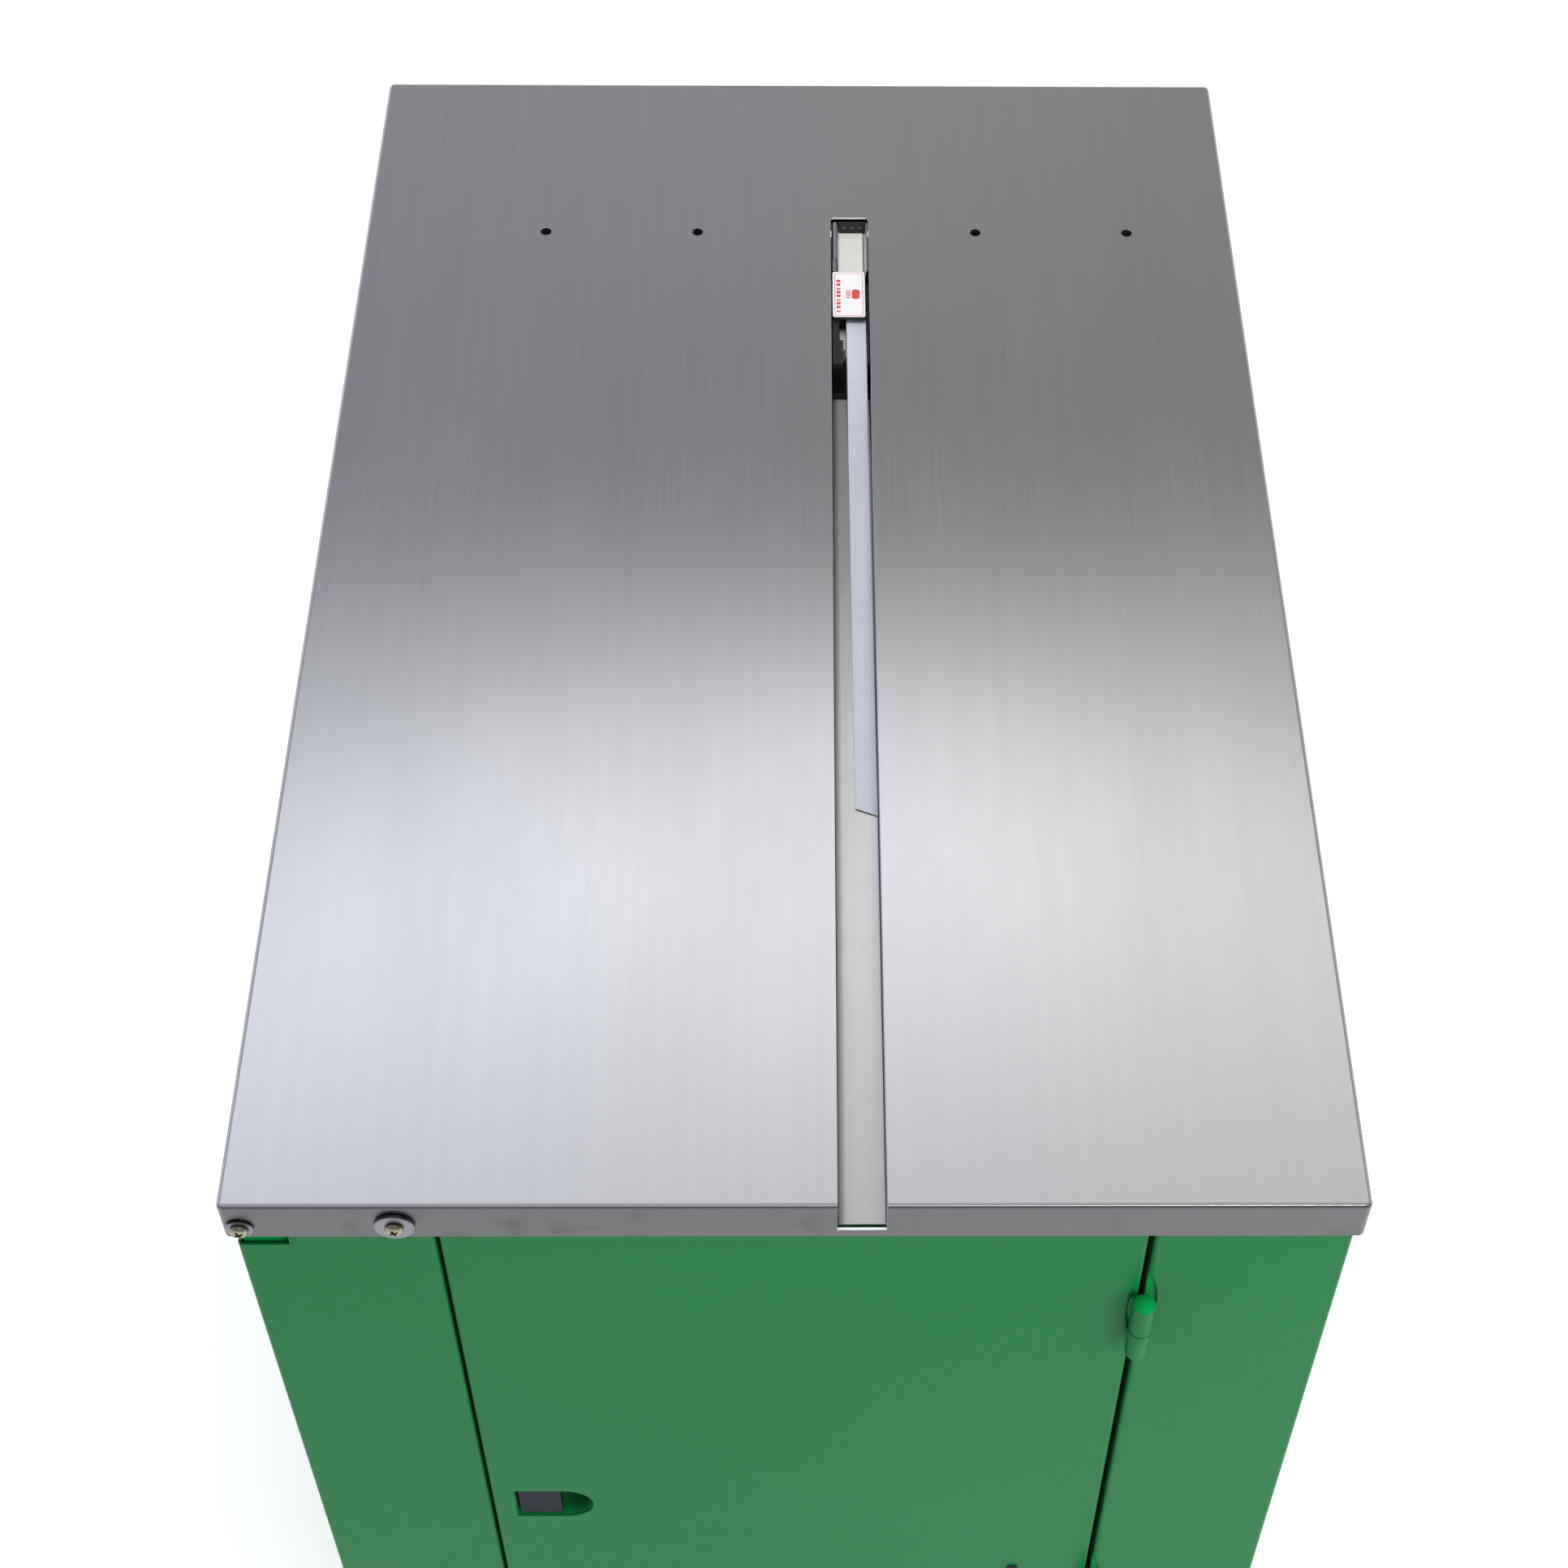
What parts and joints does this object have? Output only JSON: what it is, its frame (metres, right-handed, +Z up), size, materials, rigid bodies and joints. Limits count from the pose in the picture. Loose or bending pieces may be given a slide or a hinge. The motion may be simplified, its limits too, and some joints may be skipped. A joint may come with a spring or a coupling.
{
  "type": "semi-automatic strapping machine",
  "caption": "Waist-high strapping machine: stainless table with a strap slot over a green steel cabinet on casters, with reel door, strap reel and sealing head.",
  "frame": {"origin": "on the floor, under the middle of the table", "axes": "+Z up, +Y along the table towards the strapping head, -Y the door end, +X the operator's side with the controls"},
  "size_m": [0.565, 0.91, 0.735],
  "materials": {
    "stainless": "brushed along the table",
    "nickel": "nickel plated",
    "green_paint": "smooth green powder coat",
    "steel": "turned or zinc-plated steel",
    "dark_steel": "blackened steel",
    "light_steel": "pale ground steel",
    "black_plastic": "moulded",
    "slate_plastic": "fine texture",
    "rubber": "matt",
    "strap": "embossed polypropylene strap",
    "motor_grey": "grey machine enamel",
    "red_plastic": "moulded",
    "copper": "copper and lamination steel"
  },
  "bodies": {
    "cabinet": {"table_top": "stainless", "strap_channel": "stainless", "corner_lip_washer": "nickel", "corner_lip_screw": "nickel", "inner_lip_washer": "nickel", "inner_lip_screw": "nickel", "left_side_panel": "green_paint", "right_side_panel": "green_paint", "front_rail": "green_paint", "rear_panel": "green_paint", "base_pan": "green_paint", "cable_gland": "black_plastic", "upper_hinge_pin": "green_paint", "lower_hinge_pin": "green_paint", "reel_bracket_left": "green_paint", "reel_bracket_right": "green_paint", "mechanism_shelf": "green_paint", "head_frame": "dark_steel", "left_guide_block": "dark_steel", "right_guide_block": "dark_steel", "insert_guide": "light_steel", "motor": "motor_grey", "gearbox": "motor_grey", "drive_belt": "rubber", "transformer": "copper", "control_panel": "dark_steel", "strap_run": "strap", "strap_tail": "strap"},
    "door": {"door_panel": "green_paint", "latch_housing": "green_paint", "upper_hinge_socket": "green_paint", "lower_hinge_socket": "green_paint"},
    "latch": {"latch_paddle": "slate_plastic"},
    "reel": {"reel_shaft": "steel", "reel_flange_left": "steel", "reel_flange_right": "steel", "strap_coil": "strap"},
    "guide_roller": {"guide_roller": "black_plastic"},
    "feed_roller": {"feed_roller": "steel"},
    "pinch_roller": {"pinch_roller": "rubber"},
    "camshaft": {"camshaft": "steel"},
    "front_gripper": {"front_gripper": "light_steel"},
    "press_block": {"press_block": "steel"},
    "rear_gripper": {"rear_gripper": "light_steel"},
    "cover_plate": {"cover_plate": "dark_steel"},
    "heater_blade": {"heater_blade": "copper"},
    "motor_pulley": {"motor_pulley": "steel"},
    "gearbox_pulley": {"gearbox_pulley": "steel"},
    "power_rocker": {"power_rocker": "red_plastic"},
    "feed_button": {"feed_button": "black_plastic"},
    "reset_button": {"reset_button": "red_plastic"},
    "timer_knob": {"timer_knob": "black_plastic"},
    "front_left_fork": {"front_left_caster_fork": "steel"},
    "front_left_wheel": {"front_left_caster_wheel": "rubber"},
    "front_right_fork": {"front_right_caster_fork": "steel"},
    "front_right_wheel": {"front_right_caster_wheel": "rubber"},
    "rear_left_fork": {"rear_left_caster_fork": "steel"},
    "rear_left_wheel": {"rear_left_caster_wheel": "rubber"},
    "rear_right_fork": {"rear_right_caster_fork": "steel"},
    "rear_right_wheel": {"rear_right_caster_wheel": "rubber"}
  },
  "joints": [
    {"name": "door_hinge", "type": "hinge", "parent": "cabinet", "child": "door", "pos_m": [0.1788, -0.449, 0.45], "axis": [0, 0, 1], "range_deg": [0, 110]},
    {"name": "latch_lever", "type": "hinge", "parent": "door", "child": "latch", "pos_m": [-0.161, -0.436, 0.391], "axis": [0, 0, -1], "range_deg": [0, 28], "stiffness_Nm_per_rad": 0.2},
    {"name": "reel_spin", "type": "hinge", "parent": "cabinet", "child": "reel", "pos_m": [0, -0.205, 0.33], "axis": [1, 0, 0], "continuous": true},
    {"name": "guide_roller_spin", "type": "hinge", "parent": "cabinet", "child": "guide_roller", "pos_m": [0.036, 0.20865, 0.42], "axis": [1, 0, 0], "continuous": true},
    {"name": "feed_roller_spin", "type": "hinge", "parent": "cabinet", "child": "feed_roller", "pos_m": [0.036, 0.24955, 0.56], "axis": [1, 0, 0], "continuous": true},
    {"name": "pinch_roller_spin", "type": "hinge", "parent": "cabinet", "child": "pinch_roller", "pos_m": [0.036, 0.21335, 0.56], "axis": [1, 0, 0], "continuous": true},
    {"name": "camshaft_spin", "type": "hinge", "parent": "cabinet", "child": "camshaft", "pos_m": [-0.005, 0.226, 0.6], "axis": [0, 1, 0], "continuous": true},
    {"name": "front_gripper_lift", "type": "slide", "parent": "cabinet", "child": "front_gripper", "axis": [0, 0, 1], "range_m": [0, 0.01]},
    {"name": "press_block_lift", "type": "slide", "parent": "cabinet", "child": "press_block", "axis": [0, 0, 1], "range_m": [0, 0.01]},
    {"name": "rear_gripper_lift", "type": "slide", "parent": "cabinet", "child": "rear_gripper", "axis": [0, 0, 1], "range_m": [0, 0.01]},
    {"name": "cover_plate_slide", "type": "slide", "parent": "cabinet", "child": "cover_plate", "axis": [-1, 0, 0], "range_m": [0, 0.022]},
    {"name": "heater_blade_slide", "type": "slide", "parent": "cabinet", "child": "heater_blade", "axis": [-1, 0, 0], "range_m": [0, 0.016]},
    {"name": "gearbox_pulley_spin", "type": "hinge", "parent": "cabinet", "child": "gearbox_pulley", "pos_m": [0.015, 0.395, 0.562], "axis": [0, 1, 0], "continuous": true},
    {"name": "motor_pulley_spin", "type": "hinge", "parent": "cabinet", "child": "motor_pulley", "pos_m": [-0.15, 0.395, 0.562], "axis": [0, 1, 0], "continuous": true},
    {"name": "power_rocker_tilt", "type": "hinge", "parent": "cabinet", "child": "power_rocker", "pos_m": [0.258, -0.028, 0.64], "axis": [0, -1, 0], "range_deg": [0, 20]},
    {"name": "feed_button_press", "type": "slide", "parent": "cabinet", "child": "feed_button", "axis": [-1, 0, 0], "range_m": [0, 0.004], "stiffness_N_per_m": 400},
    {"name": "reset_button_press", "type": "slide", "parent": "cabinet", "child": "reset_button", "axis": [-1, 0, 0], "range_m": [0, 0.004], "stiffness_N_per_m": 400},
    {"name": "timer_knob_turn", "type": "hinge", "parent": "cabinet", "child": "timer_knob", "pos_m": [0.265, 0.115, 0.64], "axis": [1, 0, 0], "range_deg": [-135, 135]},
    {"name": "front_left_swivel", "type": "hinge", "parent": "cabinet", "child": "front_left_fork", "pos_m": [-0.222, -0.375, 0.09], "axis": [0, 0, 1], "continuous": true},
    {"name": "front_left_roll", "type": "hinge", "parent": "front_left_fork", "child": "front_left_wheel", "pos_m": [-0.222, -0.347, 0.0375], "axis": [1, 0, 0], "continuous": true},
    {"name": "front_right_swivel", "type": "hinge", "parent": "cabinet", "child": "front_right_fork", "pos_m": [0.222, -0.375, 0.09], "axis": [0, 0, 1], "continuous": true},
    {"name": "front_right_roll", "type": "hinge", "parent": "front_right_fork", "child": "front_right_wheel", "pos_m": [0.222, -0.347, 0.0375], "axis": [1, 0, 0], "continuous": true},
    {"name": "rear_left_swivel", "type": "hinge", "parent": "cabinet", "child": "rear_left_fork", "pos_m": [-0.222, 0.375, 0.09], "axis": [0, 0, 1], "continuous": true},
    {"name": "rear_left_roll", "type": "hinge", "parent": "rear_left_fork", "child": "rear_left_wheel", "pos_m": [-0.222, 0.403, 0.0375], "axis": [1, 0, 0], "continuous": true},
    {"name": "rear_right_swivel", "type": "hinge", "parent": "cabinet", "child": "rear_right_fork", "pos_m": [0.222, 0.375, 0.09], "axis": [0, 0, 1], "continuous": true},
    {"name": "rear_right_roll", "type": "hinge", "parent": "rear_right_fork", "child": "rear_right_wheel", "pos_m": [0.222, 0.403, 0.0375], "axis": [1, 0, 0], "continuous": true}
  ],
  "couplings": [
    {"joint": "pinch_roller_spin", "follows": "feed_roller_spin", "ratio": -1.3333},
    {"joint": "motor_pulley_spin", "follows": "gearbox_pulley_spin", "ratio": 1.8}
  ]
}
